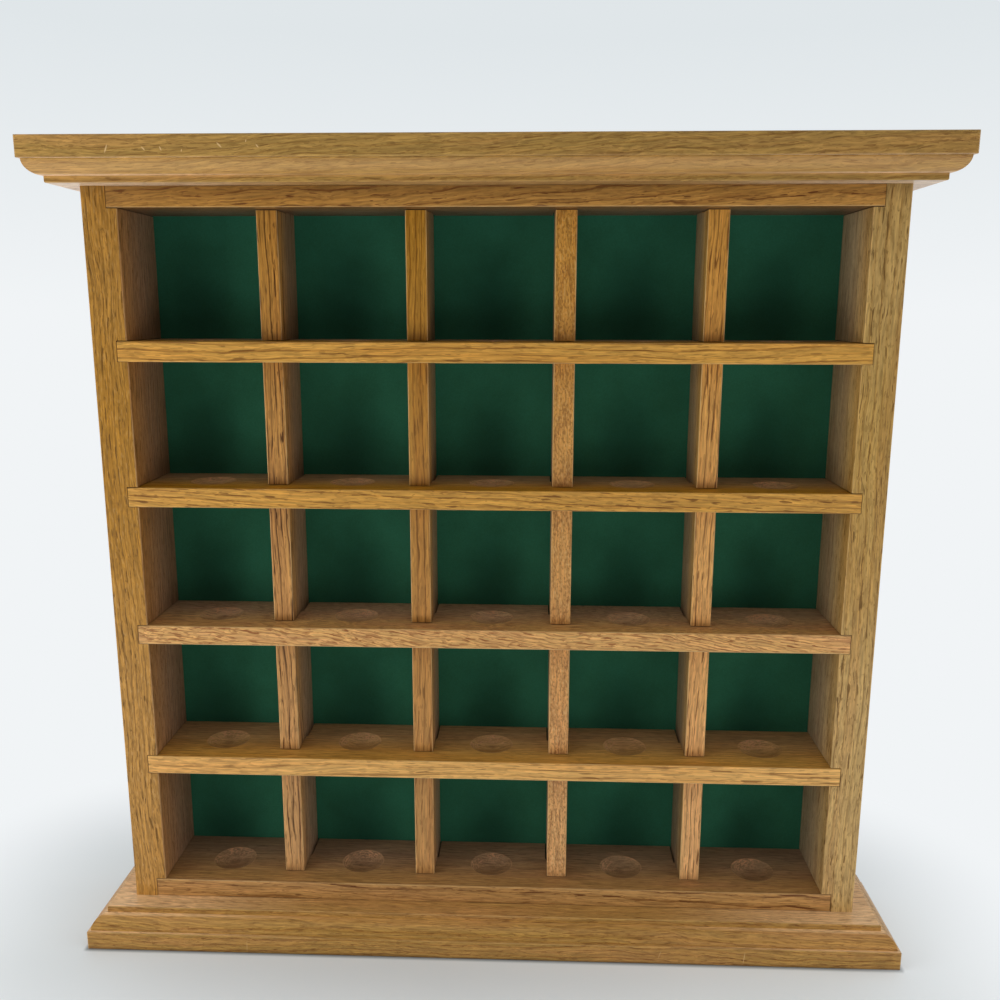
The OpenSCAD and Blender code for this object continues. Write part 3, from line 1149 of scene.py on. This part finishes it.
@dataclass
class Studio:
    """A pale seamless floor, soft lamps and the camera.

    Attributes:
        floor_radius: the floor disc's radius, in metres.
        ground: the floor's own colour.
        distance: the colour that the floor and the room fade to.
        high: the colour of the room further up.
        air: the colour of the room's light.
        above: strength of the light from the ceiling.
        behind: strength of the light from the wall behind.
        trim: how much of the footprint's right end the fade leaves out, in metres, where the
            light from the right clears the shadow.
        lamps: the soft lamps.
    """

    floor_radius: float = 4.0
    ground: str = "#EEF4F5"
    distance: str = "#F1F4F6"
    high: str = "#E0E6E9"
    air: str = "#FAFCFF"
    above: float = 0.75
    behind: float = 0.38
    trim: float = 0.0175
    lamps: tuple[SoftBox, ...] = (
        SoftBox("left_window", (-0.60, -0.25, 0.25), (0.0, -0.03, 0.15), 0.5, 2.5),
        SoftBox("right_window", (0.85, -0.10, 0.40), (0.0, 0.0, 0.3), 0.8, 1.0, mirrored=True),
        SoftBox("left_card", (-0.42, -0.42, 0.03), (-0.1, -0.02, 0.2), 0.3, 2.05),
        SoftBox("right_card", (0.42, -0.42, 0.03), (0.1, -0.02, 0.2), 0.3, 3.1))

    def build(self) -> None:
        """Makes the floor, the room's light, the lamps and the camera."""
        shape = bmesh.new()
        bmesh.ops.create_circle(shape, cap_ends=True, segments=96, radius=self.floor_radius)
        add_mesh("floor", shape, self._laminate())
        log.info("floor: radius %.1f m", self.floor_radius)
        self._room()
        for lamp in self.lamps:
            lamp.build()
        Camera().build()
        bpy.context.scene.view_settings.view_transform = "Standard"

    def _laminate(self) -> Material:
        """Builds the floor's face, which takes the case's shadow and fades to white further off.

        It also has a painted shadow along the footprint and painted shade towards the left.

        Returns:
            The material.
        """
        shading = Shading("white_laminate_floor")
        add = shading.add
        away = self._apart(shading, self.trim)
        # Painted shadow along the footprint: the floor darkens within a few millimetres of the
        # case.
        touch = add("MapRange", self._apart(shading, 0.0), 0.0024, 0.0, 1.0, 0.4, **SMOOTH)
        far = add("MapRange", away, 0.0, 0.13, **SMOOTH)
        rays = add("LightPath", {}).outputs
        seen = rays["Is Camera Ray"]
        for kind in ("Is Glossy Ray", "Is Transmission Ray"):
            seen = add("Math.MAXIMUM", seen, rays[kind])
        share = add("Math.MULTIPLY", far, seen)
        cloud = add("TexNoise", shading.place, 9.0, 3.0)
        tone = add("MapRange", cloud, 0.0, 1.0, 0.98, 1.02)
        # Painted shade: the floor is darker to the left and lighter to the right.
        side = add("MapRange", shading.spot["X"], -0.02, 0.1, 0.91, 1.04)
        for change in (side, touch):
            tone = add("Math.MULTIPLY", tone, change)
        ground = add("HueSaturation", {"Color": self.ground, "Value": tone})
        matt = add("BsdfPrincipled", {
            "Base Color": ground, "Roughness": 0.55, "Specular IOR Level": 0.3})
        glow = add("Emission", self.distance, 1.0)
        return shading.finish(add("MixShader", share, matt, glow))

    @staticmethod
    def _apart(shading: Shading, trim: float) -> Node:
        """Works out how far a point of the floor is from the case's footprint.

        Args:
            shading: the material in the making.
            trim: how much of the footprint's right end is left out, in metres.

        Returns:
            The distance.
        """
        add = shading.add
        apart = add("VectorMath.ADD", shading.place, (trim, 0.0, 0.0))
        apart = add("VectorMath.ABSOLUTE", apart)
        apart = add("VectorMath.SUBTRACT", apart, (CAD_BOX[1].x - trim, CAD_BOX[1].y, 0.0))
        return add("VectorMath.LENGTH", add("VectorMath.MAXIMUM", apart))

    def _room(self) -> None:
        """Makes the room's light, which the camera and the varnish see as a pale background."""
        world = bpy.data.worlds.new("studio_room")
        world.use_nodes = True
        world.node_tree.nodes.clear()
        add = partial(add_node, world.node_tree)
        way = add("SeparateXYZ", add("TexCoord", {}).outputs["Generated"]).outputs
        rays = add("LightPath", {}).outputs
        gloss = add("Math.MAXIMUM", rays["Is Glossy Ray"], rays["Is Transmission Ray"])
        behind = add("MapRange", way["Y"], -0.55, 0.05, **SMOOTH)
        gloss = add("Math.MULTIPLY", gloss, behind)
        seen = add("Math.MAXIMUM", gloss, rays["Is Camera Ray"])
        above = add("MapRange", way["Z"], 0.2, 0.75, 0.0, self.above, **SMOOTH)
        back = add("MapRange", way["Y"], 0.1, 0.7, 0.0, self.behind, **SMOOTH)
        level = add("Math.MAXIMUM", above, back)
        room = add("Background", self.air, level)
        rise = add("MapRange", way["Z"], 0.0, 0.24)
        wall = add("Mix", rise, self.distance, self.high, **RGBA)
        pale = add("Background", wall, 1.0)
        add("OutputWorld", {"Surface": add("MixShader", seen, room, pale)})
        bpy.context.scene.world = world


def main() -> None:
    """Builds and dresses the case, then its studio."""
    logging.basicConfig(level=logging.INFO, format="%(name)s %(message)s")
    MouldedBoards().dress()
    Carcass().dress()
    CellGrid().dress()
    lining = Lining()
    lining.build()
    lining.dress()
    Fixings().dress()
    Studio().build()


if __name__ == "__main__":
    main()
